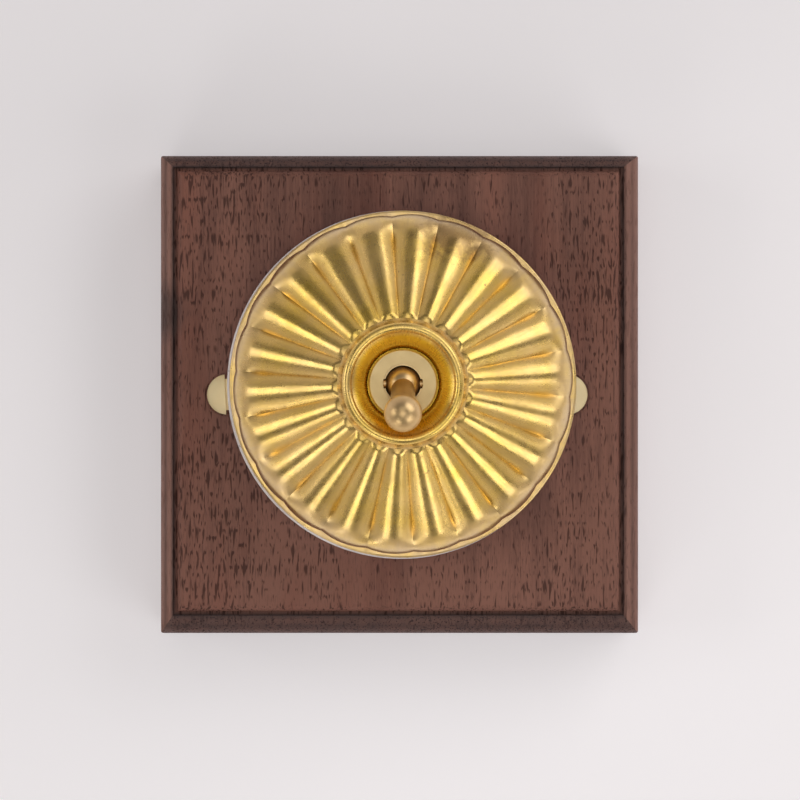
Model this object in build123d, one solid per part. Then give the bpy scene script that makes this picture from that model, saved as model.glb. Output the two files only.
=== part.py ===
from build123d import *
from math import cos, sin, tan, radians
import os

# Toggle light switch: fluted brass cover on a round porcelain base, on a square wooden block.
# It lies on its back. The origin is the centre of the block's back face, +Z points out of the
# wall, +Y is up on the wall. All sizes are in millimetres.

# Wooden block
block_side = 85.0
block_height = 20.0
block_corner = 0.6
front_board = 8.0
recess_beyond_screws = 4.1
recess_corner = 6.0

# Moulding round the block's face, from its outer edge inwards. The quarter round isn't equally
# wide all round: left, bottom, right and top.
ovolo_widths = (2.3, 3.3, 2.7, 2.1)
ovolo_height = 2.7
quirk_width = 0.8
quirk_depth = 0.9
face_bead_width = 1.4
face_above_ovolo = 1.2

# Screws that hold the block to a wall box
box_screw_spacing = 60.3
box_screw_shift = -0.4
box_screw_radius = 1.75
box_screw_plain_radius = 1.6
box_screw_plain_end = 0.5
box_screw_head_radius = 3.6
box_screw_length = 17.5
box_screw_point = 0.4
box_screw_below_face = 0.35
box_screw_turns = (92.6, 24.0)
countersink_gap = 0.3

# Where the switch sits on the block, and how far its base lies off its centre
switch_x = 0.6
switch_y = 1.8
base_play_x = -0.3
base_play_y = -0.1

# Porcelain base
base_beyond_lip = 0.15
base_flange = 5.0
base_edge = 0.4
platform_gap = 0.75
platform_height = 1.5
well_floor = 3.5
well_width = 4.0
well_end_gap = 0.1

# Fluted cover
lobe_count = 22
lobe_phase = 12.6
skirt_radius = 29.6
lip_width = 0.85
lip_height = 0.8
lip_round = 0.35
shoulder_radius = 6.0
cone_angle = 27.0
cone_top_radius = 12.0
cone_below_throat = 0.2
cone_under_collar = 1.2
cover_sheet = 0.8
flute_ratio = 0.058
flute_end_share = 0.6
skirt_flute_depth = 0.4
petal_length = 1.1
petal_drop = 0.55
collar_foot_radius = 11.2
collar_foot_rise = 0.2
collar_foot_depth = 1.6
collar_overlap = 0.6
collar_neck_out = 0.95
collar_neck_rise = 1.3
bead_radius = 9.6
bead_bulge = 0.8
bead_rise = 0.7
mouth_radius = 8.7
funnel_height = 3.0
funnel_swell = 0.8
funnel_swell_share = 0.45
throat_radius = 6.1
throat_height = 2.1

# Where the line up the cover's side is fixed: 0 to 1 is the skirt, 1 to 2 the shoulder, 2 to 3
# the cone
side_places = (0, 0.5, 1, 1.2, 1.4, 1.5, 1.6, 1.7, 1.8, 1.9, 2, 2.2, 2.5, 2.75, 2.84, 2.88, 2.92,
               2.96, 3)

# Liner, washer and ring nut
liner_thickness = 0.5
liner_gap = 0.25
washer_thickness = 0.4
washer_radius = 5.85
nut_radius = 5.93
nut_height = 2.6
nut_lip = 0.8
nut_edge = 0.3
nut_hole_radius = 3.4

# Neck bush
bush_radius = 5.0
bush_flange_radius = 7.0
bush_flange = 1.8
bush_spigot_radius = 5.2
bush_spigot_below = 0.2
bush_flare_radius = 4.3
bush_above_floor = 2.0

# Dolly: ball, neck, tip and what is inside its tail
ball_radius = 3.0
ball_below_nut_face = 1.8
neck_radius = 1.95
neck_straight = 0.7
neck_flare = 0.06
tip_radius = 3.2
tip_distance = 12.2
tip_join_angle = 20.0
rest_tilt = 24.0
pin_radius = 0.75
pin_end_gap = 0.4
stub_radius = 0.95
stub_length = 1.2
ball_flat = 2.6
tail_radius = 1.4
tail_length = 4.8
plunger_radius = 0.9
plunger_reach = 9.0
plunger_inside = 1.2
spring_wire = 0.3
spring_turns = 5

# Mechanism frame
frame_inner = 13.6
frame_sheet = 1.2
frame_width = 13.0
frame_top_height = 11.7
frame_left_foot = 19.0
frame_right_foot = 13.0
frame_bend = 0.4

# Rocker, its pin and its blade
rocker_pivot_height = 3.5
rocker_rest_tilt = 18.0
rocker_width = 8.0
boss_radius = 2.2
hub_radius = 1.4
boss_side_gap = 0.2
horn_half_width = 4.4
horn_height = 5.0
horn_thickness = 1.6
rocker_waist_y = 2.1
rocker_waist_z = 0.7
cradle_centre = 5.72
rocker_pin_radius = 0.9
rocker_pin_beyond = 0.8
rocker_pin_edge = 0.2
blade_thickness = 0.8
blade_radius = 6.0
blade_half_angle = 35.0
blade_top = 1.8
blade_top_half_width = 2.4
blade_waist = 2.2
blade_waist_rise = 0.6
blade_rivet_radius = 0.4
blade_rivet_head = 0.6
blade_rivet_head_height = 0.35
blade_rivet_y = 1.7
blade_rivet_z = 1.3

# Contact clips, terminals and fixings
clip_sheet = 0.5
clip_strip = 0.6
clip_near = 2.6
clip_far = 7.2
clip_leaf_height = 5.0
clip_leaf_round = 0.9
riser_y = 9.0
strip_width = 5.0
terminal_side = 6.0
terminal_edge = 0.5
terminal_height = 6.5
terminal_outer = 19.0
wire_bore_radius = 1.4
wire_bore_height = 3.4
wire_bore_depth = 4.0
clamp_screw_radius = 1.3
clamp_head_radius = 2.2
clamp_head_height = 1.4
clamp_head_round = 0.3
clamp_screw_turn = 20.0
wire_hole_distance = 22.5
wire_hole_radius = 2.25
cable_hole_radius = 3.0
rivet_radius = 0.9
rivet_head_radius = 2.0
rivet_head_height = 1.2
rivet_into_block = 1.2
frame_screw_x = 10.5
frame_screw_radius = 1.2
frame_screw_head_radius = 2.2
frame_screw_beyond = 0.6
base_screw_offset = 13.4
base_screw_radius = 1.6
base_screw_head_radius = 3.1
base_screw_head_height = 1.8
base_screw_head_round = 0.8
base_screw_pocket = 2.5
base_screw_depth = 7.0
base_screw_tip = 0.1
base_screw_turn = 30.0
slot_width = 0.6
slot_depth = 0.8

# Clearances
snug = 0.02
running = 0.05
loose = 0.2
ball_gap = 0.1

# How far a cutting tool runs past what it cuts
past = 1.0

# Sizes that follow from others
recess_side = box_screw_spacing + 2 * (box_screw_radius + recess_beyond_screws)
lip_radius = skirt_radius + lip_width
base_radius = lip_radius + base_beyond_lip
platform_radius = (skirt_radius - skirt_flute_depth - cover_sheet - liner_gap - liner_thickness
                   - platform_gap)
cone_inner_radius = collar_foot_radius - cone_under_collar
terminal_middle = terminal_outer - terminal_side / 2

# Levels, from the back face up
recess_depth = block_height - front_board
flange_top = block_height + base_flange
platform_top = flange_top + platform_height
well_bottom = block_height + well_floor
frame_top = platform_top + frame_top_height
liner_disc = frame_top + bush_flange
cover_floor = liner_disc + liner_thickness
recess_floor = cover_floor + cover_sheet
nut_seat = recess_floor + washer_thickness
nut_face = nut_seat + nut_height
pivot_z = nut_face - ball_below_nut_face
rocker_z = platform_top + rocker_pivot_height
throat_top = recess_floor + throat_height
mouth_z = throat_top + funnel_height
bead_top = mouth_z + bead_rise
cone_top_z = throat_top - cone_below_throat
collar_foot_z = cone_top_z + collar_foot_rise
clip_seat = platform_top + clip_strip
foot_seat = platform_top + frame_sheet

rocker_pivot_to_tip = pivot_z - plunger_reach - rocker_z

# Each terminal's turn about the switch axis, and the level that it stands on
terminal_seats = ((0, clip_seat), (180, clip_seat), (90, foot_seat))

switch_axis = Pos(switch_x, switch_y, 0)
lobe_step = 360 / lobe_count


def rod(radius, bottom, top, x=0.0, y=0.0):
    """A round bar between two levels."""
    return Pos(x, y, bottom) * Cylinder(
        radius, top - bottom, align=(Align.CENTER, Align.CENTER, Align.MIN))


def cross_rod(radius, half_length, z, y=0.0):
    """A round bar along X, centred on the switch."""
    return Pos(0, y, z) * Rot(0, 90, 0) * Cylinder(radius, 2 * half_length)


def slab(x_range, y_range, z_range):
    """A box between two corners."""
    size = [high - low for low, high in (x_range, y_range, z_range)]
    centre = [(high + low) / 2 for low, high in (x_range, y_range, z_range)]
    return Pos(*centre) * Box(*size)


def turned(*edges):
    """A solid turned about Z from a closed outline in the XZ plane."""
    return revolve(make_face(edges), Axis.Z)


def run(*points):
    """Straight edges through points given as radius and height."""
    return Polyline(*[(r, 0, z) for r, z in points])


def bend(start, middle, end):
    """An arc in the XZ plane."""
    return ThreePointArc(*[(r, 0, z) for r, z in (start, middle, end)])


def driver_slot(top, head_radius, x, y, turn):
    """The cut that a screwdriver fits, in a head whose top is at the given level."""
    reach = head_radius + past
    cut = slab((-reach, reach), (-slot_width / 2, slot_width / 2), (-slot_depth, past))
    return Pos(x, y, top) * Rot(0, 0, turn) * cut


def grouped(pieces):
    """Separate solids of one kind, kept together as one node."""
    return Compound([piece.solid() for piece in pieces])


# Wooden block


def moulding_cutter(width, next_width, last_width):
    """What is cut away along the -X side as far as the mitres, from an outline in the XZ plane.

    The mitres run to the corners where this side's quarter round meets those of its neighbours.
    """
    edge = -block_side / 2
    ovolo_top = block_height - face_above_ovolo
    side_top = ovolo_top - ovolo_height
    ovolo_end = edge + width
    quirk_end = ovolo_end + quirk_width
    quirk_floor = ovolo_top - quirk_depth
    bead_end = quirk_end + face_bead_width
    above = block_height + past
    middle = radians(45)
    bead_middle = (bead_end - face_bead_width * cos(middle), ovolo_top + face_above_ovolo * sin(middle))
    ovolo = EllipticalCenterArc((ovolo_end, side_top), width, ovolo_height, 90, arc_size=90)
    outline = make_face([
        Plane.XZ * ovolo,
        run((ovolo_end, ovolo_top), (ovolo_end, quirk_floor), (quirk_end, quirk_floor),
            (quirk_end, ovolo_top)),
        bend((quirk_end, ovolo_top), bead_middle, (bead_end, block_height)),
        run((bead_end, block_height), (bead_end, above), (edge - past, above), (edge - past, side_top),
            (edge, side_top)),
    ])
    inwards = quirk_width + face_bead_width + past
    low = edge + next_width
    high = -edge - last_width
    mitre = Polyline(
        (edge, edge), (ovolo_end, low), (ovolo_end + inwards, low + inwards),
        (ovolo_end + inwards, high - inwards), (ovolo_end, high), (edge, -edge),
        (edge - past, -edge), (edge - past, edge), close=True)
    return extrude(outline, block_side, both=True) & extrude(make_face(mitre), above)


def box_screw_places():
    return [(box_screw_shift + side * box_screw_spacing / 2, 0) for side in (-1, 1)]


def base_screw_places():
    return [(side * base_screw_offset, side * base_screw_offset) for side in (1, -1)]


def wire_hole_places():
    return [(0, wire_hole_distance), (0, -wire_hole_distance), (-wire_hole_distance, 0)]


def countersink(top, head_radius, shank_radius, x, y):
    """A 45 degree cone under a flat screw head."""
    depth = head_radius - shank_radius
    return Pos(x, y, top - depth / 2) * Cone(shank_radius, head_radius, depth)


def pattress_block():
    block = Box(block_side, block_side, block_height, align=(Align.CENTER, Align.CENTER, Align.MIN))
    block = fillet(block.edges().filter_by(Axis.Z), block_corner)
    for side, width in enumerate(ovolo_widths):
        neighbours = ovolo_widths[(side + 1) % 4], ovolo_widths[side - 1]
        block -= Rot(0, 0, 90 * side) * moulding_cutter(width, *neighbours)
    block -= extrude(RectangleRounded(recess_side, recess_side, recess_corner), recess_depth)
    hole_radius = box_screw_radius + loose
    head_top = block_height - box_screw_below_face
    for x, y in box_screw_places():
        block -= rod(hole_radius, recess_depth - past, block_height, x, y)
        block -= countersink(head_top, box_screw_head_radius, hole_radius, x, y)
        block -= rod(box_screw_head_radius + countersink_gap, head_top, block_height + past, x, y)
    for x, y in base_screw_places():
        block -= switch_axis * rod(base_screw_radius + snug, block_height - base_screw_depth - loose,
                                   block_height + past, x, y)
    for x, y in wire_hole_places():
        block -= switch_axis * rod(cable_hole_radius, recess_depth - past, block_height + past, x, y)
    return block


def block_screws():
    """Two countersunk screws, heads a little below the block's face, threaded behind its board."""
    head_top = block_height - box_screw_below_face
    thread_top = recess_depth - box_screw_plain_end
    screws = []
    for (x, y), turn in zip(box_screw_places(), box_screw_turns):
        screw = rod(box_screw_radius, head_top - box_screw_length, thread_top, x, y)
        screw = chamfer(screw.edges().filter_by(GeomType.CIRCLE).sort_by(Axis.Z)[0], box_screw_point)
        screw += rod(box_screw_plain_radius, thread_top, head_top, x, y)
        screw += countersink(head_top, box_screw_head_radius, box_screw_plain_radius, x, y)
        screws.append(screw - driver_slot(head_top, box_screw_head_radius, x, y, turn))
    return grouped(screws)


# Porcelain base


def porcelain_base():
    flange = rod(base_radius, block_height, flange_top)
    flange = fillet(flange.edges().filter_by(GeomType.CIRCLE), base_edge)
    base = Pos(base_play_x, base_play_y, 0) * flange
    base += rod(platform_radius, flange_top - past, platform_top)
    end = riser_y + clip_strip + well_end_gap
    base -= slab((-well_width / 2, well_width / 2), (-end, end), (well_bottom, platform_top + past))
    under = block_height - past
    for x, y in wire_hole_places():
        base -= rod(wire_hole_radius, under, platform_top + past, x, y)
    for x, y in terminal_places():
        base -= rod(rivet_radius + snug, under, platform_top + past, x, y)
        base -= rod(rivet_head_radius + loose, under, block_height + loose + rivet_head_height, x, y)
    for side in (-1, 1):
        x = side * frame_screw_x
        base -= rod(frame_screw_radius + snug, under, platform_top + past, x)
        base -= rod(frame_screw_head_radius + loose, under, block_height + loose + rivet_head_height, x)
    for x, y in base_screw_places():
        base -= rod(base_screw_radius + loose, under, platform_top + past, x, y)
        base -= rod(base_screw_head_radius + 2 * loose, platform_top - base_screw_pocket,
                    platform_top + past, x, y)
    return base


def base_screws():
    """Round-headed wood screws, sunk in pockets of the base."""
    seat = platform_top - base_screw_pocket
    top = seat + base_screw_head_height
    tip = block_height - base_screw_depth
    screws = []
    for x, y in base_screw_places():
        head = rod(base_screw_head_radius, seat, top, x, y)
        head = fillet(head.edges().filter_by(GeomType.CIRCLE).sort_by(Axis.Z)[-1], base_screw_head_round)
        shank = rod(base_screw_radius, tip + base_screw_radius, seat, x, y)
        point = Cone(base_screw_tip, base_screw_radius, base_screw_radius)
        screw = head + shank + Pos(x, y, tip + base_screw_radius / 2) * point
        screws.append(screw - driver_slot(top, base_screw_head_radius, x, y, base_screw_turn))
    return grouped(screws)


# Terminals and contacts


def terminal_places():
    return [(0, terminal_middle), (0, -terminal_middle), (-terminal_middle, 0)]


def terminal(seat):
    """A block facing +Y, with a bore for the wire, a clamp screw hole and a rivet hole."""
    half = terminal_side / 2
    block = slab((-half, half), (terminal_outer - terminal_side, terminal_outer),
                 (seat, seat + terminal_height))
    block = chamfer(block.edges().filter_by(Axis.Z), terminal_edge)
    bore = Pos(0, terminal_outer - wire_bore_depth / 2, seat + wire_bore_height) * Rot(90, 0, 0)
    block -= bore * Cylinder(wire_bore_radius, wire_bore_depth + 2 * snug)
    block -= rod(clamp_screw_radius + snug, seat + wire_bore_height, seat + terminal_height + past, 0,
                 terminal_middle)
    return block - rod(rivet_radius + snug, seat - past, seat + rivet_into_block + loose, 0, terminal_middle)


def clamp_screw(seat):
    top = seat + terminal_height
    head_top = top + clamp_head_height
    head = rod(clamp_head_radius, top, head_top, 0, terminal_middle)
    head = fillet(head.edges().filter_by(GeomType.CIRCLE).sort_by(Axis.Z)[-1], clamp_head_round)
    shank = rod(clamp_screw_radius, seat + wire_bore_height, top, 0, terminal_middle)
    return head + shank - driver_slot(head_top, clamp_head_radius, 0, terminal_middle, clamp_screw_turn)


def terminal_rivet(seat):
    low = block_height + loose
    return (rod(rivet_head_radius, low, low + rivet_head_height, 0, terminal_middle)
            + rod(rivet_radius, low, seat + rivet_into_block, 0, terminal_middle))


def contact_clip():
    """A knife clip in the base's well, on the +Y side, with the strip that leads to its terminal."""
    inner = blade_thickness / 2 + running
    outer = inner + clip_sheet
    web_top = well_bottom + clip_strip
    clip = slab((-outer, outer), (clip_near, riser_y + clip_strip), (well_bottom, web_top))
    for low, high in ((-outer, -inner), (inner, outer)):
        leaf = slab((low, high), (clip_near, clip_far), (well_bottom, well_bottom + clip_leaf_height))
        corner = leaf.edges().filter_by(Axis.X).sort_by(Axis.Z)[-2:]
        clip += fillet(corner, clip_leaf_round)
    clip += slab((-outer, outer), (riser_y, riser_y + clip_strip), (well_bottom, clip_seat))
    strip = slab((-strip_width / 2, strip_width / 2), (riser_y, terminal_outer), (platform_top, clip_seat))
    return clip + strip - rod(rivet_radius + snug, platform_top - past, clip_seat + past, 0, terminal_middle)


# Frame and bush


def mechanism_frame():
    """One brass strip bent into two feet, two cheeks and a top plate."""
    inner = frame_inner / 2
    outer = inner + frame_sheet
    under_top = frame_top - frame_sheet
    foot_top = platform_top + frame_sheet
    outline = Polyline(
        (-frame_left_foot, 0, platform_top), (-inner, 0, platform_top), (-inner, 0, under_top),
        (inner, 0, under_top), (inner, 0, platform_top), (frame_right_foot, 0, platform_top),
        (frame_right_foot, 0, foot_top), (outer, 0, foot_top), (outer, 0, frame_top),
        (-outer, 0, frame_top), (-outer, 0, foot_top), (-frame_left_foot, 0, foot_top), close=True)
    frame = extrude(make_face(outline), frame_width / 2, both=True)
    outside = frame_bend + frame_sheet
    for x, z, radius in ((outer, foot_top, frame_bend), (inner, under_top, frame_bend),
                         (inner, platform_top, outside), (outer, frame_top, outside)):
        bends = [edge for edge in frame.edges().filter_by(Axis.Y)
                 if abs(abs(edge.center().X) - x) < snug and abs(edge.center().Z - z) < snug]
        frame = fillet(bends, radius)
    frame -= rod(bush_spigot_radius + snug, under_top - past, frame_top + past)
    frame -= cross_rod(rocker_pin_radius + snug, outer + past, rocker_z)
    for side in (-1, 1):
        frame -= rod(frame_screw_radius + snug, platform_top - past, foot_top + past, side * frame_screw_x)
    return frame - rod(rivet_radius + snug, platform_top - past, foot_top + past, -terminal_middle)


def frame_screws():
    low = block_height + loose
    reach = frame_screw_head_radius + past
    slot = slab((-reach, reach), (-slot_width / 2, slot_width / 2), (low - past, low + slot_depth / 2))
    screws = []
    for side in (-1, 1):
        x = side * frame_screw_x
        screw = rod(frame_screw_head_radius, low, low + rivet_head_height, x)
        screw += rod(frame_screw_radius, low, foot_seat + frame_screw_beyond, x)
        screws.append(screw - Pos(x, 0, 0) * slot)
    return grouped(screws)


def neck_bush():
    """Threaded barrel with a flange, a ball seat that flares below, and slots for the dolly pin."""
    low = frame_top - frame_sheet - bush_spigot_below
    top = recess_floor + bush_above_floor
    seat_low = pivot_z - ball_flat
    bore = ball_radius + ball_gap
    bush = turned(run(
        (bush_flare_radius, low), (bush_spigot_radius, low), (bush_spigot_radius, frame_top),
        (bush_flange_radius, frame_top), (bush_flange_radius, liner_disc), (bush_radius, liner_disc),
        (bush_radius, top), (bore, top), (bore, seat_low), (bush_flare_radius, low)))
    slot = pin_radius + running
    reach = bush_radius + past
    bush -= slab((-reach, reach), (-slot, slot), (pivot_z, top + past))
    return bush - cross_rod(slot, reach, pivot_z)


def rocker_pin():
    half = frame_inner / 2 + frame_sheet + rocker_pin_beyond
    pin = cross_rod(rocker_pin_radius, half, rocker_z)
    return chamfer(pin.edges().filter_by(GeomType.CIRCLE), rocker_pin_edge)


# Cover


def side_station(place):
    """Radius, height, outward normal and flute depth at a place up the cover's side.

    The place runs from 0 to 1 up the skirt, 1 to 2 round the shoulder and 2 to 3 up the cone.
    """
    lean = radians(cone_angle)
    arc_r = skirt_radius - shoulder_radius
    arc_end_r = arc_r + shoulder_radius * sin(lean)
    arc_z = cone_top_z - (arc_end_r - cone_top_radius) * tan(lean) - shoulder_radius * cos(lean)
    if place <= 1:
        low = flange_top + lip_height / 2
        return skirt_radius, low + (arc_z - low) * place, 1.0, 0.0, skirt_flute_depth
    if place <= 2:
        turn = (radians(90) - lean) * (place - 1)
        r = arc_r + shoulder_radius * cos(turn)
        z = arc_z + shoulder_radius * sin(turn)
        share = max(0, 1 - (2 - place) / flute_end_share)
        ease = share ** 2 * (3 - 2 * share)
        depth = skirt_flute_depth + (flute_ratio * arc_end_r - skirt_flute_depth) * ease
        return r, z, cos(turn), sin(turn), depth
    r = arc_end_r + (cone_inner_radius - arc_end_r) * (place - 2)
    z = cone_top_z + (cone_top_radius - r) * tan(lean)
    return r, z, sin(lean), cos(lean), flute_ratio * r


def side_line(across, inset):
    """The sheet's line up the side, at a share of half a lobe's width from its crest."""
    points = []
    for place in side_places:
        r, z, out, up, depth = side_station(place)
        into_petal = min(1, max(0, (collar_foot_radius + petal_length - r) / petal_length))
        inward = depth * across ** 2 + petal_drop * into_petal ** 2 * (1 - across ** 2) + inset
        points.append((r - inward * out, 0, z - inward * up))
    lean = radians(cone_angle)
    return Spline(*points, tangents=[(0, 0, 1), (-cos(lean), 0, sin(lean))])


def lobe():
    """One flute from crease to crease, lofted through sections that all contain the cover's axis."""
    sections = []
    for across in (-1, -0.5, 0, 0.5, 1):
        outer = side_line(across, 0)
        inner = side_line(across, cover_sheet)
        section = Wire([outer, Line(outer @ 1, inner @ 1), inner, Line(inner @ 0, outer @ 0)])
        sections.append(section.rotate(Axis.Z, across * lobe_step / 2))
    return Solid.make_loft(sections)


def fluted_side():
    """The lobes side by side, with sharp creases between them."""
    first = lobe().rotate(Axis.Z, 90 - lobe_phase - lobe_step / 2)
    lobes = [first.rotate(Axis.Z, turn * lobe_step) for turn in range(lobe_count)]
    return lobes[0].fuse(*lobes[1:])


def cover_collar():
    """Turned collar: foot, hollow neck, bead, funnel, throat and the floor that the nut clamps."""
    foot = (collar_foot_radius, collar_foot_z)
    foot_low = collar_foot_z - collar_foot_depth
    neck = (bead_radius + collar_neck_out, collar_foot_z + collar_neck_rise)
    bead_side = (bead_radius + bead_bulge, bead_top - bead_bulge)
    mouth = (mouth_radius, mouth_z)
    funnel_middle = (throat_radius + funnel_swell, throat_top + funnel_height * funnel_swell_share)
    throat = (throat_radius, throat_top)
    hole = bush_radius + running
    outer = throat_radius + cover_sheet
    return turned(
        run((hole, cover_floor), (outer, cover_floor), (outer, foot_low), (collar_foot_radius, foot_low),
            foot),
        bend(foot, neck, bead_side),
        bend(bead_side, (bead_radius, bead_top), mouth),
        bend(mouth, funnel_middle, throat),
        run(throat, (throat_radius, recess_floor), (hole, recess_floor), (hole, cover_floor)))


def fluted_cover():
    shell = fluted_side() - rod(collar_foot_radius - collar_overlap, flange_top, bead_top + past)
    lip_top = flange_top + lip_height
    lip = rod(lip_radius, flange_top, lip_top)
    lip = fillet(lip.edges().filter_by(GeomType.CIRCLE).sort_by(Axis.Z)[-1], lip_round)
    lip -= rod(skirt_radius - cover_sheet - skirt_flute_depth, flange_top - past, lip_top + past)
    return shell + lip + cover_collar()


def cover_liner():
    """Pressed fibre lining: a thin wall under the flutes and a disc on the bush's flange."""
    def under(place, thickness=0.0):
        r, z, out, up, depth = side_station(place)
        inward = depth + cover_sheet + liner_gap + thickness
        return r - inward * out, z - inward * up

    lean = radians(cone_angle)
    wall_low, wall_mid, wall_top = under(1), under(1.5), under(2)
    inner_low, inner_mid, inner_top = [under(place, liner_thickness) for place in (1, 1.5, 2)]
    disc_edge = wall_top[0] - (cover_floor - wall_top[1]) / tan(lean)
    inner_edge = inner_top[0] - (liner_disc - inner_top[1]) / tan(lean)
    hole = bush_radius + loose
    return turned(
        run((wall_low[0], flange_top), wall_low), bend(wall_low, wall_mid, wall_top),
        run(wall_top, (disc_edge, cover_floor), (hole, cover_floor), (hole, liner_disc),
            (inner_edge, liner_disc), inner_top),
        bend(inner_top, inner_mid, inner_low),
        run(inner_low, (inner_low[0], flange_top), (wall_low[0], flange_top)))


def cover_washer():
    washer = rod(washer_radius, recess_floor, nut_seat)
    return washer - rod(bush_radius + loose, recess_floor - past, nut_seat + past)


def ring_nut():
    """Cap nut: its inner lip keeps the dolly pin in the bush's open slots."""
    inner = bush_radius + snug
    under_lip = nut_face - nut_lip
    return turned(run(
        (inner, nut_seat), (nut_radius, nut_seat), (nut_radius, nut_face - nut_edge),
        (nut_radius - nut_edge, nut_face), (nut_hole_radius, nut_face),
        (nut_hole_radius, under_lip), (inner, under_lip), (inner, nut_seat)))


# Dolly, modelled upright about its pivot and then tilted to rest


def tilted(solid):
    return Pos(0, 0, pivot_z) * Rot(rest_tilt, 0, 0) * solid


def dolly_lever():
    neck_z = (ball_radius ** 2 - neck_radius ** 2) ** 0.5
    flat_radius = (ball_radius ** 2 - ball_flat ** 2) ** 0.5
    join = radians(tip_join_angle)
    join_point = (tip_radius * cos(join), tip_distance - tip_radius * sin(join))
    neck_top = (neck_radius, neck_z + neck_straight)
    side = Spline((neck_top[0], 0, neck_top[1]), (join_point[0], 0, join_point[1]),
                  tangents=[(neck_flare, 0, 1), (sin(join), 0, cos(join))])
    middle = radians(45)
    tip_middle = (tip_radius * cos(middle), tip_distance + tip_radius * sin(middle))
    end = (0, tip_distance + tip_radius)
    stub_low = -ball_flat - stub_length
    lever = turned(
        run((0, stub_low), (stub_radius, stub_low), (stub_radius, -ball_flat), (flat_radius, -ball_flat)),
        bend((flat_radius, -ball_flat), (ball_radius, 0), (neck_radius, neck_z)),
        run((neck_radius, neck_z), neck_top),
        side,
        bend(join_point, tip_middle, end),
        run(end, (0, stub_low)))
    return tilted(lever - cross_rod(pin_radius + snug, ball_radius + past, 0))


def dolly_pin():
    return tilted(cross_rod(pin_radius, bush_radius - pin_end_gap, 0))


def dolly_tail():
    low = -ball_flat - tail_length
    bore = rod(stub_radius + snug, low - past, -ball_flat + past)
    return tilted(rod(tail_radius, low, -ball_flat) - bore)


def toggle_plunger():
    top = plunger_inside - ball_flat - tail_length
    body = rod(plunger_radius, -plunger_reach, top)
    return tilted(body + Pos(0, 0, -plunger_reach) * Sphere(plunger_radius))


def toggle_spring():
    """Compression spring between the lever's stub and the plunger."""
    top = -ball_flat - stub_length
    bottom = plunger_inside - ball_flat - tail_length
    height = top - bottom - spring_wire
    coil_radius = plunger_radius - spring_wire / 2
    path = Helix(height / spring_turns, height, coil_radius, center=(0, 0, bottom + spring_wire / 2))
    section = Plane(origin=path @ 0, z_dir=path % 0) * Circle(spring_wire / 2)
    return tilted(sweep(section, path, is_frenet=True))


# Rocker, modelled level about its pivot and then tilted to rest


def rocked(solid):
    return Pos(0, 0, rocker_z) * Rot(-rocker_rest_tilt, 0, 0) * solid


def side_plate(outline, half_thickness):
    """A plate square to X, from an outline given as Y and Z."""
    return extrude(make_face(outline), half_thickness, both=True)


def blade_rivet_holes(radius, half_length):
    return [cross_rod(radius, half_length, blade_rivet_z, side * blade_rivet_y) for side in (-1, 1)]


def rocker():
    """Saddle with a round cradle for the plunger, and a long boss on the pin."""
    cradle_radius = cradle_centre - rocker_pivot_to_tip + plunger_radius + ball_gap
    shoulder_z = horn_height - horn_thickness
    outline = Polyline(*[(0, y, z) for y, z in (
        (-horn_half_width, horn_height), (horn_half_width, horn_height), (horn_half_width, shoulder_z),
        (rocker_waist_y, rocker_waist_z), (-rocker_waist_y, rocker_waist_z),
        (-horn_half_width, shoulder_z))], close=True)
    body = side_plate(outline, rocker_width / 2)
    body += cross_rod(boss_radius, rocker_width / 2, 0)
    body += cross_rod(hub_radius, frame_inner / 2 - boss_side_gap, 0)
    body -= cross_rod(cradle_radius, rocker_width, cradle_centre)
    slot = blade_thickness / 2 + snug
    body -= slab((-slot, slot), (-horn_half_width, horn_half_width), (-boss_radius - past, blade_top + snug))
    body -= cross_rod(rocker_pin_radius + running, frame_inner, 0)
    for hole in blade_rivet_holes(blade_rivet_radius + snug, rocker_width):
        body -= hole
    return rocked(body)


def moving_blade():
    """Knife blade: a sector below the pin that swings between the clips' leaves."""
    half = radians(blade_half_angle)
    corner_y = blade_radius * sin(half)
    corner_z = -blade_radius * cos(half)
    waist_z = blade_waist_rise - boss_radius
    outline = [
        ThreePointArc((0, -corner_y, corner_z), (0, 0, -blade_radius), (0, corner_y, corner_z)),
        Polyline((0, corner_y, corner_z), (0, blade_waist, waist_z), (0, blade_top_half_width, blade_top),
                 (0, -blade_top_half_width, blade_top), (0, -blade_waist, waist_z),
                 (0, -corner_y, corner_z))]
    blade = side_plate(outline, blade_thickness / 2)
    blade -= cross_rod(rocker_pin_radius + running, rocker_width, 0)
    for hole in blade_rivet_holes(blade_rivet_radius + snug, rocker_width):
        blade -= hole
    return rocked(blade)


def blade_rivets():
    half = rocker_width / 2
    rivets = []
    for side in (-1, 1):
        y = side * blade_rivet_y
        rivet = cross_rod(blade_rivet_radius, half + blade_rivet_head_height, blade_rivet_z, y)
        for end in (-1, 1):
            x = end * (half + blade_rivet_head_height / 2)
            head = Cylinder(blade_rivet_head, blade_rivet_head_height)
            rivet += Pos(x, y, blade_rivet_z) * Rot(0, 90, 0) * head
        rivets.append(rocked(rivet))
    return grouped(rivets)


def at_terminals(make):
    """One piece for each terminal: upper, lower and common."""
    return [Rot(0, 0, turn) * make(seat) for turn, seat in terminal_seats]


upper_terminal, lower_terminal, common_terminal = at_terminals(terminal)
clip = contact_clip()

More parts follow.
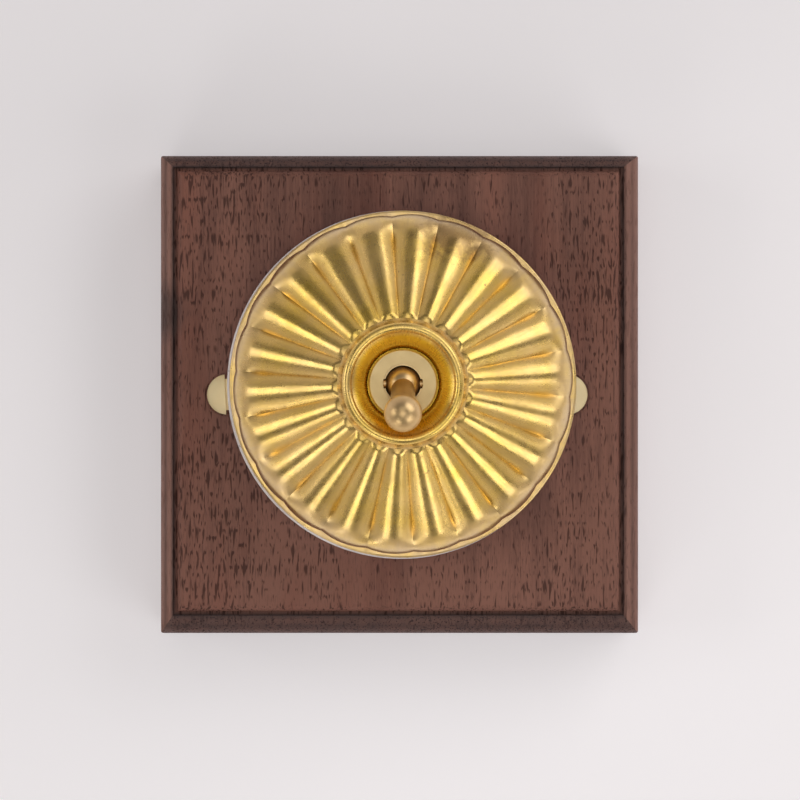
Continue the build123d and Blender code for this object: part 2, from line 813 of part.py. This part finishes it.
on_block = {
    "pattress_block": pattress_block(),
    "block_screws": block_screws(),
}
on_switch = {
    "porcelain_base": porcelain_base(),
    "base_screws": base_screws(),
    "terminal_upper": upper_terminal,
    "terminal_lower": lower_terminal,
    "terminal_common": common_terminal,
    "terminal_screws": grouped(at_terminals(clamp_screw)),
    "terminal_rivets": grouped(at_terminals(terminal_rivet)),
    "contact_clip_upper": clip,
    "contact_clip_lower": Rot(0, 0, 180) * clip,
    "mechanism_frame": mechanism_frame(),
    "frame_screws": frame_screws(),
    "neck_bush": neck_bush(),
    "rocker_pin": rocker_pin(),
    "fluted_cover": fluted_cover(),
    "cover_liner": cover_liner(),
    "cover_washer": cover_washer(),
    "ring_nut": ring_nut(),
    "dolly_lever": dolly_lever(),
    "dolly_pin": dolly_pin(),
    "dolly_tail": dolly_tail(),
    "toggle_plunger": toggle_plunger(),
    "toggle_spring": toggle_spring(),
    "rocker": rocker(),
    "moving_blade": moving_blade(),
    "blade_rivets": blade_rivets(),
}

os.makedirs("parts", exist_ok=True)
for name, piece in on_block.items():
    export_step(piece, f"parts/{name}.step")
for name, piece in on_switch.items():
    export_step(switch_axis * piece, f"parts/{name}.step")
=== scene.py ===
from math import cos, radians, sin
import bpy
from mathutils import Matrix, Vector


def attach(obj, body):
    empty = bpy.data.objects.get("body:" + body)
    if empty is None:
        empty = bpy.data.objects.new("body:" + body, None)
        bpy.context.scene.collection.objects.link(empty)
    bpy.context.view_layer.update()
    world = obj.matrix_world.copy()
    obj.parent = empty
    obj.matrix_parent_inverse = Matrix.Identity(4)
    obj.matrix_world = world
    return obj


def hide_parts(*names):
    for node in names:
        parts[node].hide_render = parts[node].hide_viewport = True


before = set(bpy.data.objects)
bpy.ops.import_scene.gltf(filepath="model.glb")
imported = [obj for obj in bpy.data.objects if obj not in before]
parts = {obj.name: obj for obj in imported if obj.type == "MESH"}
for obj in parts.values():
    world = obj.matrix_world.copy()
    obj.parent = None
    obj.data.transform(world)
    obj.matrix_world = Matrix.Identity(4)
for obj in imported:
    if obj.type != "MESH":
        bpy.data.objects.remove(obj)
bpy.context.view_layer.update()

scene = bpy.context.scene
scene.view_settings.view_transform = "Standard"
bpy.ops.object.select_all(action="DESELECT")
print("frame loaded,", len(parts), "nodes")

switchCentre = (0.0006, 0.0018)  # the switch sits a little off the block's centre


# Nodes of a material, made one line each

def newFinish(name):
    finish = bpy.data.materials.new(name)
    finish.use_nodes = True
    return finish


def addNode(finish, kind, inputs=None, out=0, **settings):
    node = finish.node_tree.nodes.new("ShaderNode" + kind)
    for name, value in settings.items():
        setattr(node, name, value)
    for socket, value in (inputs or {}).items():
        if isinstance(value, bpy.types.NodeSocket):
            finish.node_tree.links.new(value, node.inputs[socket])
        else:
            node.inputs[socket].default_value = value
    return node.outputs[out]


def place(finish, stretch=(1, 1, 1), turn=(0, 0, 0), shift=(0, 0, 0)):
    coords = addNode(finish, "TexCoord", out="Object")
    return addNode(finish, "Mapping", {"Vector": coords, "Location": shift,
                                       "Rotation": turn, "Scale": stretch})


def axis(finish, which, turn=0):
    where = place(finish, turn=(0, 0, radians(turn)))
    return addNode(finish, "SeparateXYZ", {"Vector": where}, out=which)


def noise(finish, where, scale, detail=3.0, roughness=0.5, distortion=0.0):
    return addNode(finish, "TexNoise", {"Vector": where, "Scale": scale, "Detail": detail,
                                        "Roughness": roughness, "Distortion": distortion})


def remap(finish, value, low, high, newLow=0.0, newHigh=1.0):
    return addNode(finish, "MapRange", {0: value, 1: low, 2: high, 3: newLow, 4: newHigh})


def sum2(finish, how, a, b=0.0):
    return addNode(finish, "Math", {0: a, 1: b}, operation=how)


def colour(value):
    return value if isinstance(value, bpy.types.NodeSocket) else (*value, 1)


def blendColour(finish, amount, a, b):
    return addNode(finish, "Mix", {0: amount, 6: colour(a), 7: colour(b)}, out=2, data_type="RGBA")


def distanceFrom(finish, stretch, shift):
    where = place(finish, stretch, shift=shift)
    return addNode(finish, "VectorMath", {0: where}, out=1, operation="LENGTH")


def relief(finish, height, depth, strength, under=None):
    inputs = {"Height": height, "Distance": depth, "Strength": strength}
    if under:
        inputs["Normal"] = under
    return addNode(finish, "Bump", inputs)


def setShader(finish, **sockets):
    shader = finish.node_tree.nodes["Principled BSDF"]
    for name, value in sockets.items():
        socket = shader.inputs[name.replace("_", " ")]
        if isinstance(value, bpy.types.NodeSocket):
            finish.node_tree.links.new(value, socket)
        elif isinstance(value, tuple):
            socket.default_value = (*value, 1)
        else:
            socket.default_value = value
    return finish


# Camera straight above the block

camera = {"at": (0.00009, -0.00098, 0.62), "lens": 152.5, "sensor": 36, "nearest": 0.01}

bpy.ops.object.camera_add(location=camera["at"], rotation=(0, 0, 0))
cameraObject = bpy.context.object
cameraObject.data.lens = camera["lens"]
cameraObject.data.sensor_width = camera["sensor"]
cameraObject.data.clip_start = camera["nearest"]
scene.camera = cameraObject


# Soft studio light, stronger from the right, a pale floor and pale paper round it

coolTint = (0.99, 0.985, 1.0)
warmTint = (1.0, 0.98, 0.96)
studio = {
    "world": (0.17, 0.160, 0.155),
    "floor": (0.70, 0.67, 0.675),
    "floorMottle": (0.60, 0.58, 0.59),
    "floorShine": (0.86, 0.835, 0.845),
    "floorGlow": (0.335, 0.475),  # at the upper left and the lower right
    "glowTurn": 64,
    "glowReach": 0.07,
    "floorSize": 8.0,
    "floorLevel": -0.0001,  # just under the back of the block
    "sweep": (0.95, 0.86, 0.86),  # the paper round the table, which shows in the brass
    "sweepBody": (0.3, 0.28, 0.27),
    "sweepGlow": 0.47,
    "sweepRadius": 1.6,
    "sweepHeight": 0.66,
    "aim": (0, 0, 0.03),
    "boxes": [  # name, compass bearing, height angle, distance, width, height, watts, colour
        ("rightBox", 50, 36, 1.1, 0.95, 0.60, 3.2, coolTint),
        ("keyBox", 130, 38, 1.1, 0.66, 0.50, 2.15, coolTint),
        ("leftBox", 208, 32, 1.1, 0.45, 0.42, 1.1, coolTint),
        ("farLeftBox", 276, 33, 1.1, 0.55, 0.45, 1.5, coolTint),
        ("lowLeftBox", 212, 7, 1.1, 0.26, 0.10, 0.22, coolTint),
        ("lowRightBox", 118, 6, 1.1, 0.20, 0.08, 0.12, coolTint),
        ("topBox", 350, 64, 1.2, 0.70, 0.50, 0.5, warmTint),
        ("overheadBox", 200, 85, 1.3, 0.70, 0.70, 1.85, warmTint),
    ],
}

scene.world = bpy.data.worlds.new("studio")
scene.world.use_nodes = True
scene.world.node_tree.nodes["Background"].inputs["Color"].default_value = (*studio["world"], 1)

for name, bearing, lift, distance, width, height, watts, tint in studio["boxes"]:
    out = distance * cos(radians(lift))
    at = Vector((out * sin(radians(bearing)), out * cos(radians(bearing)), distance * sin(radians(lift))))
    bpy.ops.object.light_add(type="AREA", location=at)
    box = bpy.context.object
    box.name = name
    box.data.shape = "RECTANGLE"
    box.data.size = width
    box.data.size_y = height
    box.data.energy = watts
    box.data.color = tint
    box.rotation_euler = (Vector(studio["aim"]) - at).to_track_quat("-Z", "Y").to_euler()


def glowWhenSeen(finish, strength):  # paper that is bright to the eye and in the brass, but lights nothing
    rays = finish.node_tree.nodes.new("ShaderNodeLightPath").outputs
    seen = sum2(finish, "MAXIMUM", rays["Is Camera Ray"], rays["Is Glossy Ray"])
    seen = sum2(finish, "MAXIMUM", seen, rays["Is Transmission Ray"])
    return sum2(finish, "MULTIPLY", seen, strength)


bpy.ops.mesh.primitive_plane_add(size=studio["floorSize"], location=(0, 0, studio["floorLevel"]))
floor = bpy.context.object
floor.name = "floor"
floorFinish = newFinish("tablePaper")
mottle = remap(floorFinish, noise(floorFinish, place(floorFinish), 9.0, detail=2), 0.3, 0.7, 0, 0.06)
acrossFloor = axis(floorFinish, "X", studio["glowTurn"])
slantingGlow = remap(floorFinish, acrossFloor, -studio["glowReach"], studio["glowReach"],
                     *studio["floorGlow"])
setShader(floorFinish, Base_Color=blendColour(floorFinish, mottle, studio["floor"], studio["floorMottle"]),
          Roughness=0.9, Emission_Color=studio["floorShine"],
          Emission_Strength=glowWhenSeen(floorFinish, slantingGlow))
floor.data.materials.append(floorFinish)

bpy.ops.mesh.primitive_cylinder_add(vertices=96, radius=studio["sweepRadius"], depth=studio["sweepHeight"],
                                    end_fill_type="NOTHING", location=(0, 0, studio["sweepHeight"] / 2))
sweep = bpy.context.object
sweep.name = "sweep"
sweepFinish = newFinish("sweepPaper")
setShader(sweepFinish, Base_Color=studio["sweepBody"], Roughness=0.95, Emission_Color=studio["sweep"],
          Emission_Strength=glowWhenSeen(sweepFinish, studio["sweepGlow"]))
sweep.data.materials.append(sweepFinish)
print("camera, lights and floor ready")


# Wood of the block: grain up the wall, short dark pores, darker end grain on the two short mouldings

woodLook = {
    "dark": (0.078, 0.027, 0.019),
    "light": (0.272, 0.118, 0.081),
    "red": (0.240, 0.078, 0.048),
    "redDepth": 0.55,
    "paintedLightTurn": -48,  # painted light and shade: the tone rises from the upper right to the lower left
    "paintedLightSpan": (-0.045, 0.02),
    "paintedLightTones": (0.52, -0.06),
    "pore": (0.026, 0.009, 0.008),
    "poreSpan": (0.625, 0.735),  # noise level where a pore begins, and where it is fully dark
    "poreDepth": 0.70,
    "finePoreDepth": 0.4,
    "endGrain": (0.088, 0.052, 0.046),
    # painted light: lighter wood on the two side mouldings, as lit from the sides
    "paintedLitSides": (0.360, 0.190, 0.145),
    "paintedLitSidesSpan": (0.0400, 0.0404),
    "halfSide": 0.0425,
    "mouldings": (("X", -1, 0.0023), ("X", 1, 0.0027), ("Y", -1, 0.0033), ("Y", 1, 0.0021)),  # with widths
    "grimeAndShadeLines": ((1.0, 0.24, 0.78), (0.42, 0.2, 0.5)),  # dirt and painted shade in the moulding's grooves: place across the moulding, reach and depth
    "grimeAndShadeLevel": (0.0165, 0.0175),  # the lines fade out below the moulded front edge
    "stain": (0.045, 0.028, 0.026),  # old dark patch on the left edge
    "stainStretch": (180, 190, 100),
    "stainShift": (7.5, -2.77, -1.9),
    "stainDepth": 0.65,
    "roughness": 0.50,
    "poreRoughness": 0.8,
    "reliefDepth": 0.00014,
}


def woodColour(wood, bands, fibres, reds):
    drift = noise(wood, place(wood, (1, 0.6, 1)), 24, 3)
    tone = sum2(wood, "ADD", remap(wood, bands, 0.32, 0.68, -0.05, 0.62),
                sum2(wood, "MULTIPLY", fibres, 0.94))
    tone = sum2(wood, "ADD", tone, remap(wood, drift, 0.35, 0.65, -0.26, 0.12))
    # painted light and shade: the wood is lighter towards the lower left and darker towards the upper right
    paintedLightSlant = axis(wood, "X", woodLook["paintedLightTurn"])
    tone = sum2(wood, "ADD", tone, remap(wood, paintedLightSlant, *woodLook["paintedLightSpan"], *woodLook["paintedLightTones"]))
    body = blendColour(wood, remap(wood, tone, 0.12, 0.98), woodLook["dark"], woodLook["light"])
    return blendColour(wood, remap(wood, reds, 0.48, 0.72, 0, woodLook["redDepth"]), body, woodLook["red"])


def woodPores(wood):
    density = noise(wood, place(wood, (1, 0.35, 1)), 60, 3)
    longPores = noise(wood, place(wood, (1, 0.14, 1)), 2200, 0, 0.5)
    shortPores = noise(wood, place(wood, (1, 0.24, 1), shift=(0.3, 0.1, 0)), 3200, 0, 0.5)
    pores = sum2(wood, "MAXIMUM", longPores, sum2(wood, "SUBTRACT", shortPores, 0.015))
    pores = sum2(wood, "ADD", pores, remap(wood, density, 0.33, 0.67, -0.085, 0.065))
    return remap(wood, pores, *woodLook["poreSpan"])


def mouldingShares(wood):  # 0 at the outer edge and 1 where the moulding ends, by the sides and by the ends
    shares = []
    for run, side, width in woodLook["mouldings"]:
        outwards = sum2(wood, "MULTIPLY", axis(wood, run), side)
        fromEdge = sum2(wood, "SUBTRACT", woodLook["halfSide"], outwards)
        shares.append(sum2(wood, "DIVIDE", fromEdge, width))
    return sum2(wood, "MINIMUM", shares[0], shares[1]), sum2(wood, "MINIMUM", shares[2], shares[3])


# dirt and painted shade: dark lines along the moulding's inner edge and its groove
def mouldingGrimeAndShade(wood, share, reds):
    grimeAndShade = 0.0
    for middle, reach, depth in woodLook["grimeAndShadeLines"]:
        off = sum2(wood, "ABSOLUTE", sum2(wood, "SUBTRACT", share, middle))
        grimeAndShade = sum2(wood, "MAXIMUM", grimeAndShade, remap(wood, off, 0, reach, depth, 0))
    grimeAndShade = sum2(wood, "MULTIPLY", grimeAndShade, remap(wood, axis(wood, "Z"), *woodLook["grimeAndShadeLevel"]))
    return sum2(wood, "MULTIPLY", grimeAndShade, remap(wood, reds, 0.3, 0.6, 0.5, 1.0))


def addEndGrain(wood, body, sideShare, endShare):
    atEnds = sum2(wood, "MULTIPLY", remap(wood, endShare, 1.1, 1.0),
                  remap(wood, sum2(wood, "SUBTRACT", sideShare, endShare), -0.02, 0.02))
    ragged = remap(wood, noise(wood, place(wood, (1, 1, 0.3)), 420, 3, 0.6), 0.3, 0.7, 0.6, 0.85)
    endPores = remap(wood, noise(wood, place(wood), 3400, 0, 0.5), 0.60, 0.70)
    inPores = sum2(wood, "MULTIPLY", endPores, 0.8)
    endBody = blendColour(wood, inPores, woodLook["endGrain"], woodLook["pore"])
    amount = sum2(wood, "MULTIPLY", atEnds, sum2(wood, "MAXIMUM", ragged, endPores))
    return blendColour(wood, amount, body, endBody)


def woodFinish():
    wood = newFinish("darkWood")
    bands = noise(wood, place(wood, (1, 0.10, 0.5)), 120, 4, 0.6, 0.5)
    fibres = noise(wood, place(wood, (1, 0.022, 1)), 2300, 4, 0.7)
    reds = noise(wood, place(wood, (1, 0.22, 1), shift=(0.7, 0.2, 0)), 75, 3, 0.6)
    body = woodColour(wood, bands, fibres, reds)
    pores = woodPores(wood)
    fine = noise(wood, place(wood, (1, 0.10, 1), shift=(0.1, 0.6, 0)), 4600, 1, 0.5)
    fine = remap(wood, fine, 0.56, 0.72, 0, woodLook["finePoreDepth"])
    darkening = sum2(wood, "MAXIMUM", sum2(wood, "MULTIPLY", pores, woodLook["poreDepth"]), fine)
    body = blendColour(wood, darkening, body, woodLook["pore"])
    # painted light: the side mouldings are painted lighter, mottled by the grain bands
    atSides = remap(wood, sum2(wood, "ABSOLUTE", axis(wood, "X")), *woodLook["paintedLitSidesSpan"])
    paintedLitSidesDepth = sum2(wood, "MULTIPLY", atSides, remap(wood, bands, 0.35, 0.65, 0.35, 0.85))
    body = blendColour(wood, paintedLitSidesDepth, body, woodLook["paintedLitSides"])
    sideShare, endShare = mouldingShares(wood)
    body = addEndGrain(wood, body, sideShare, endShare)
    fromStain = distanceFrom(wood, woodLook["stainStretch"], woodLook["stainShift"])
    stain = sum2(wood, "ADD", fromStain, remap(wood, reds, 0.3, 0.7, -0.4, 0.4))
    stain = remap(wood, stain, 0.5, 1.3, woodLook["stainDepth"], 0)
    body = blendColour(wood, stain, body, woodLook["stain"])
    grimeAndShade = mouldingGrimeAndShade(wood, sum2(wood, "MINIMUM", sideShare, endShare), reds)
    # the stain's colour also darkens these lines: partly dirt, partly painted shade in the grooves
    body = blendColour(wood, grimeAndShade, body, woodLook["stain"])
    height = sum2(wood, "SUBTRACT", sum2(wood, "MULTIPLY", fibres, 0.5), pores)
    roughness = remap(wood, pores, 0, 1, woodLook["roughness"], woodLook["poreRoughness"])
    return setShader(wood, Base_Color=body, Roughness=roughness,
                     Normal=relief(wood, height, woodLook["reliefDepth"], 0.6), Specular_IOR_Level=0.35)


# Brass: one recipe for every piece, with its own colours and handling marks

brassLooks = {
    "coverBrass": {"light": (0.93, 0.645, 0.21), "deep": (0.86, 0.575, 0.085), "rough": (0.23, 0.33),
                   "handled": 0.35, "scratch": 0.12, "brushed": 0.05, "tarnish": 0.6, "lacquer": 0.6},
    "nutBrass": {"light": (0.78, 0.60, 0.31), "deep": (0.68, 0.51, 0.25), "rough": (0.40, 0.50),
                 "handled": 0.15, "scratch": 0.35, "brushed": 0.5, "tarnish": 0.25, "lacquer": 0.0},
    "dollyBrass": {"light": (0.80, 0.565, 0.29), "deep": (0.66, 0.435, 0.19), "rough": (0.33, 0.41),
                   "handled": 0.4, "scratch": 0.2, "brushed": 0.25, "tarnish": 0.5, "lacquer": 0.0},
    "screwBrass": {"light": (1.0, 0.85, 0.53), "deep": (0.98, 0.79, 0.45), "rough": (0.42, 0.55),
                   "handled": 0.1, "scratch": 0.4, "brushed": 0.3, "tarnish": 0.3, "lacquer": 0.0},
    "workBrass": {"light": (0.78, 0.60, 0.33), "deep": (0.62, 0.43, 0.19), "rough": (0.30, 0.44),
                  "handled": 0.4, "scratch": 0.25, "brushed": 0.2, "tarnish": 0.6, "lacquer": 0.0},
}
tarnishColour = (0.30, 0.17, 0.06)
handledColour = (0.60, 0.40, 0.13)
coverWear = {
    "marksRound": 12.0,  # press marks run outwards: fine round the cover, long along it
    "marksAlong": 70.0,
    "marksDepth": 0.42,
    # painted reflection: deep gold inside the collar, for the brass reflecting itself there
    "funnel": (0.95, 0.62, 0.035),
    "funnelSpan": (0.0080, 0.0086),  # all such spans are distances from the switch's centre
    "shoulder": (0.76, 0.555, 0.32),  # rubbed dull on the rounded shoulder, and painted tan there as its dark reflection of the wood
    "shoulderSpan": (0.0248, 0.0285),
    "shoulderWander": 0.0014,
    "shoulderDepth": 0.75,
    # dirt and painted shade at the collar's foot; the same colour paints the dark reflection on the
    # shoulder
    "grimeAndShade": (0.36, 0.21, 0.07),
    "grimeAndShadeDepth": 0.55,
    "grimeAndShadeReach": (0.0002, 0.0011),
    "collarFoot": 0.0112,
    "patchStretch": (165, 230, 0),  # painted dark reflection on the upper right of the shoulder
    "patchShift": (-1.70, -6.35, 0),
    "patchDepth": 0.7,
}


def wearCover(brass, body, cloud, specks, patches):
    wear = coverWear
    centred = place(brass, (1, 1, 0), shift=(-switchCentre[0], -switchCentre[1], 0))
    outwards = addNode(brass, "VectorMath", {0: centred}, out=1, operation="LENGTH")
    direction = addNode(brass, "VectorMath", {0: centred}, operation="NORMALIZE")
    turned = addNode(brass, "VectorMath", {0: direction, "Scale": wear["marksRound"]}, operation="SCALE")
    along = addNode(brass, "CombineXYZ", {"Z": sum2(brass, "MULTIPLY", outwards, wear["marksAlong"])})
    marks = noise(brass, addNode(brass, "VectorMath", {0: turned, 1: along}, operation="ADD"), 2.0, 4, 0.62)
    body = blendColour(brass, remap(brass, marks, 0.46, 0.70, 0, wear["marksDepth"]), body, handledColour)
    wander = remap(brass, cloud, 0, 1, -wear["shoulderWander"], wear["shoulderWander"])
    edge = sum2(brass, "ADD", outwards, wander)
    wornAndReflected = remap(brass, edge, *wear["shoulderSpan"], 0, wear["shoulderDepth"])
    wornAndReflected = sum2(brass, "MULTIPLY", wornAndReflected, remap(brass, patches, 0.34, 0.62, 0.25, 1.0))
    # dirt and painted shade: a patchy dark ring at the collar's foot, where the creases end
    fromCollar = sum2(brass, "ABSOLUTE", sum2(brass, "SUBTRACT", outwards, wear["collarFoot"]))
    grimeAndShade = remap(brass, fromCollar, *wear["grimeAndShadeReach"], wear["grimeAndShadeDepth"], 0)
    grimeAndShade = sum2(brass, "MULTIPLY", grimeAndShade, remap(brass, patches, 0.36, 0.62))
    # painted reflection: a dark patch where the shoulder reflects the wood
    fromPatch = distanceFrom(brass, wear["patchStretch"], wear["patchShift"])
    fromPatch = sum2(brass, "ADD", fromPatch, remap(brass, specks, 0.3, 0.7, -0.6, 0.6))
    patch = remap(brass, fromPatch, 0.5, 1.3, wear["patchDepth"], 0)
    # painted reflection: inside the collar the brass is painted deep gold, as its reflections in itself
    # look
    body = blendColour(brass, remap(brass, outwards, *wear["funnelSpan"], 1.0, 0), body, wear["funnel"])
    # partly rubbed wear, partly painted reflection: the shoulder is blended to tan in patches
    body = blendColour(brass, wornAndReflected, body, wear["shoulder"])
    # the dark ring of dirt and painted shade, and the painted dark reflection, in one colour
    body = blendColour(brass, sum2(brass, "MAXIMUM", grimeAndShade, patch), body, wear["grimeAndShade"])
    rougher = (sum2(brass, "MULTIPLY", wornAndReflected, 0.08), remap(brass, marks, 0.4, 0.7, -0.03, 0.07))
    return body, rougher


def brassFinish(name):
    look = brassLooks[name]
    brass = newFinish(name)
    here = place(brass)
    cloud = remap(brass, noise(brass, here, 120, 5, 0.6), 0.32, 0.68)
    body = blendColour(brass, cloud, look["light"], look["deep"])
    specks = noise(brass, here, 700, 4, 0.65)
    patches = noise(brass, here, 160, 3, 0.6)
    handled = remap(brass, noise(brass, place(brass, shift=(0.4, 0.1, 0.2)), 75, 4, 0.6), 0.44, 0.66)
    body = blendColour(brass, sum2(brass, "MULTIPLY", handled, look["handled"]), body, handledColour)
    rougher = ()
    if name == "coverBrass":
        body, rougher = wearCover(brass, body, cloud, specks, patches)
    spots = sum2(brass, "ADD", specks, remap(brass, patches, 0.4, 0.75, -0.10, 0.10))
    spots = sum2(brass, "MULTIPLY", remap(brass, spots, 0.66, 0.76), look["tarnish"])
    body = blendColour(brass, spots, body, tarnishColour)
    rough = remap(brass, noise(brass, here, 420, 4, 0.6), 0.3, 0.7, *look["rough"])
    for more in (sum2(brass, "MULTIPLY", spots, 0.25), *rougher):
        rough = sum2(brass, "ADD", rough, more)
    lines = noise(brass, place(brass, (1, 0.05, 0.4), (0.3, 0.2, 0.7)), 2600, 2, 0.5)
    crossLines = noise(brass, place(brass, (0.05, 1, 0.4), (0.1, 0.4, 0.4)), 2300, 2, 0.5)
    ripple = noise(brass, here, 330, 2, 0.5)
    grain = noise(brass, here, 2600, 2, 0.6)
    height = sum2(brass, "ADD", sum2(brass, "MULTIPLY", lines, look["scratch"]),
                  sum2(brass, "MULTIPLY", crossLines, look["brushed"]))
    normal = relief(brass, height, 0.00003, 0.5)
    for bumps, depth, strength in ((ripple, 0.00006, 0.5), (grain, 0.00002, 0.45), (spots, 0.00002, 0.5)):
        normal = relief(brass, bumps, depth, strength, normal)
    return setShader(brass, Base_Color=body, Metallic=1.0, Roughness=rough, Normal=normal,
                     Coat_Weight=look["lacquer"], Coat_Roughness=0.24, Coat_IOR=1.6)


# Porcelain, spring steel, pressed fibre and ebonite

porcelainLook = {"glaze": (0.93, 0.86, 0.84), "dirt": (0.45, 0.36, 0.31), "roughness": 0.14}
steelLook = {"bright": (0.34, 0.30, 0.26), "dull": (0.17, 0.145, 0.12)}
fibreLook = {"red": (0.16, 0.05, 0.03), "brown": (0.09, 0.04, 0.025)}
eboniteLook = {"black": (0.012, 0.011, 0.010), "faded": (0.040, 0.032, 0.024)}


def porcelainFinish():
    china = newFinish("porcelainGlaze")
    smudge = remap(china, noise(china, place(china), 140, 4, 0.6), 0.52, 0.80)
    specks = remap(china, noise(china, place(china), 900, 2, 0.5), 0.70, 0.76)
    dirt = sum2(china, "MAXIMUM", sum2(china, "MULTIPLY", smudge, 0.35),
                sum2(china, "MULTIPLY", specks, 0.6))
    body = blendColour(china, dirt, porcelainLook["glaze"], porcelainLook["dirt"])
    wave = noise(china, place(china), 210, 2)
    roughness = remap(china, dirt, 0, 1, porcelainLook["roughness"], 0.5)
    return setShader(china, Base_Color=body, Roughness=roughness, Normal=relief(china, wave, 0.0001, 0.3),
                     Coat_Weight=0.4, Coat_Roughness=0.08)


def steelFinish():
    steel = newFinish("springSteel")
    drawn = noise(steel, place(steel, (0.1, 1, 1)), 2200, 3, 0.6)
    dull = remap(steel, noise(steel, place(steel), 300, 4, 0.6), 0.45, 0.75)
    body = blendColour(steel, dull, steelLook["bright"], steelLook["dull"])
    return setShader(steel, Base_Color=body, Metallic=1.0,
                     Roughness=remap(steel, drawn, 0.3, 0.7, 0.25, 0.42),
                     Normal=relief(steel, drawn, 0.00002, 0.4))


def fibreFinish():
    board = newFinish("pressedFibre")
    fleck = noise(board, place(board, (1, 0.3, 1)), 900, 4, 0.7)
    body = blendColour(board, remap(board, fleck, 0.35, 0.65), fibreLook["red"], fibreLook["brown"])
    return setShader(board, Base_Color=body, Roughness=remap(board, fleck, 0.3, 0.7, 0.6, 0.8),
                     Normal=relief(board, fleck, 0.00008, 0.5))


def eboniteFinish():
    rubber = newFinish("turnedEbonite")
    bloom = noise(rubber, place(rubber), 500, 3, 0.6)
    body = blendColour(rubber, remap(rubber, bloom, 0.45, 0.75), eboniteLook["black"], eboniteLook["faded"])
    return setShader(rubber, Base_Color=body, Roughness=remap(rubber, bloom, 0.3, 0.7, 0.28, 0.45),
                     Normal=relief(rubber, bloom, 0.00003, 0.3))


finishes = {
    "darkWood": woodFinish(),
    "porcelainGlaze": porcelainFinish(),
    "springSteel": steelFinish(),
    "pressedFibre": fibreFinish(),
    "turnedEbonite": eboniteFinish(),
}
for name in brassLooks:
    finishes[name] = brassFinish(name)
print("finishes made:", len(finishes))

wearing = {
    "darkWood": ["pattress_block"],
    "porcelainGlaze": ["porcelain_base"],
    "coverBrass": ["fluted_cover"],
    "nutBrass": ["ring_nut"],
    "dollyBrass": ["dolly_lever", "dolly_pin"],
    "screwBrass": ["block_screws", "base_screws", "terminal_screws", "frame_screws"],
    "workBrass": ["terminal_upper", "terminal_lower", "terminal_common", "terminal_rivets",
                  "contact_clip_upper", "contact_clip_lower", "mechanism_frame", "neck_bush",
                  "rocker", "moving_blade", "blade_rivets"],
    "springSteel": ["rocker_pin", "toggle_plunger", "toggle_spring"],
    "pressedFibre": ["cover_liner", "cover_washer"],
    "turnedEbonite": ["dolly_tail"],
}
for finishName, names in wearing.items():
    for name in names:
        parts[name].data.materials.clear()
        parts[name].data.materials.append(finishes[finishName])
print("every piece has its finish")


# Block screws with their cut threads, which show in the hollow back

blockScrews = {
    "centres": ((-0.03055, 0, 0), (0.02975, 0, 0)),
    "slotTurns": (92.6, 98.0),
    "sides": 48,
    "headTop": 0.01965,
    "headRadius": 0.0036,
    "plainRadius": 0.0016,
    "threadTop": 0.0115,
    "crestRadius": 0.00175,
    "rootRadius": 0.00142,
    "pitch": 0.0006,
    "bottom": 0.00215,
    "pointRadius": 0.0011,
    "pointLength": 0.0004,
    "softEdge": 0.0001,
    "slotWidth": 0.0006,
    "slotDepth": 0.0008,
    "smoothAngle": 35,
}


def turnedStations(look):  # level and radius of each turned step, from the point up
    top, head, plain, soft = look["headTop"], look["headRadius"], look["plainRadius"], look["softEdge"]
    level = look["bottom"] + look["pointLength"]
    stations = [(look["bottom"], look["pointRadius"]), (level, look["rootRadius"])]
    while level + look["pitch"] < look["threadTop"]:
        stations.append((level + look["pitch"] / 2, look["crestRadius"]))
        stations.append((level + look["pitch"], look["rootRadius"]))
        level += look["pitch"]
    return stations + [(look["threadTop"], plain), (top - (head - plain), plain),
                       (top - soft, head - soft), (top - soft / 2, head), (top, head - soft)]


def turnedScrew(look):
    stations = turnedStations(look)
    level, radius = stations[0]
    bpy.ops.mesh.primitive_circle_add(vertices=look["sides"], radius=radius, fill_type="NGON",
                                      location=(0, 0, level))
    screw = bpy.context.object
    bpy.ops.object.transform_apply(location=True, rotation=False, scale=False)
    bpy.ops.object.mode_set(mode="EDIT")
    for nextLevel, nextRadius in stations[1:]:
        bpy.ops.mesh.extrude_region_move(TRANSFORM_OT_translate={"value": (0, 0, nextLevel - level)})
        factor = nextRadius / radius
        bpy.ops.transform.resize(value=(factor, factor, 1), center_override=(0, 0, nextLevel))
        level, radius = nextLevel, nextRadius
    bpy.ops.mesh.select_all(action="SELECT")
    bpy.ops.mesh.normals_make_consistent(inside=False)
    bpy.ops.object.mode_set(mode="OBJECT")
    bpy.ops.mesh.primitive_cube_add(size=1, location=(0, 0, look["headTop"]))
    cutter = bpy.context.object
    cutter.scale = (3 * look["headRadius"], look["slotWidth"], 2 * look["slotDepth"])
    bpy.ops.object.transform_apply(location=True, rotation=True, scale=True)
    bpy.ops.object.select_all(action="DESELECT")
    bpy.context.view_layer.objects.active = screw
    screw.select_set(True)
    slotCut = screw.modifiers.new("slot", "BOOLEAN")
    slotCut.object = cutter
    slotCut.operation = "DIFFERENCE"
    bpy.ops.object.modifier_apply(modifier="slot")
    bpy.data.objects.remove(cutter)
    bpy.ops.object.shade_smooth_by_angle(angle=radians(look["smoothAngle"]))
    return screw


bpy.ops.object.select_all(action="DESELECT")
firstScrew = turnedScrew(blockScrews)
bpy.ops.object.duplicate()
secondScrew = bpy.context.object
for screw, centre, turn in zip((firstScrew, secondScrew), blockScrews["centres"], blockScrews["slotTurns"]):
    screw.location = centre
    screw.rotation_euler = (0, 0, radians(turn))
firstScrew.select_set(True)
secondScrew.select_set(True)
bpy.context.view_layer.objects.active = firstScrew
bpy.ops.object.transform_apply(location=True, rotation=True, scale=True)
bpy.ops.object.join()
firstScrew.name = "blockScrewPair"
firstScrew.data.materials.append(finishes["screwBrass"])
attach(firstScrew, "switch_body")
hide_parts("block_screws")
bpy.ops.object.select_all(action="DESELECT")
print("block screws turned and threaded")
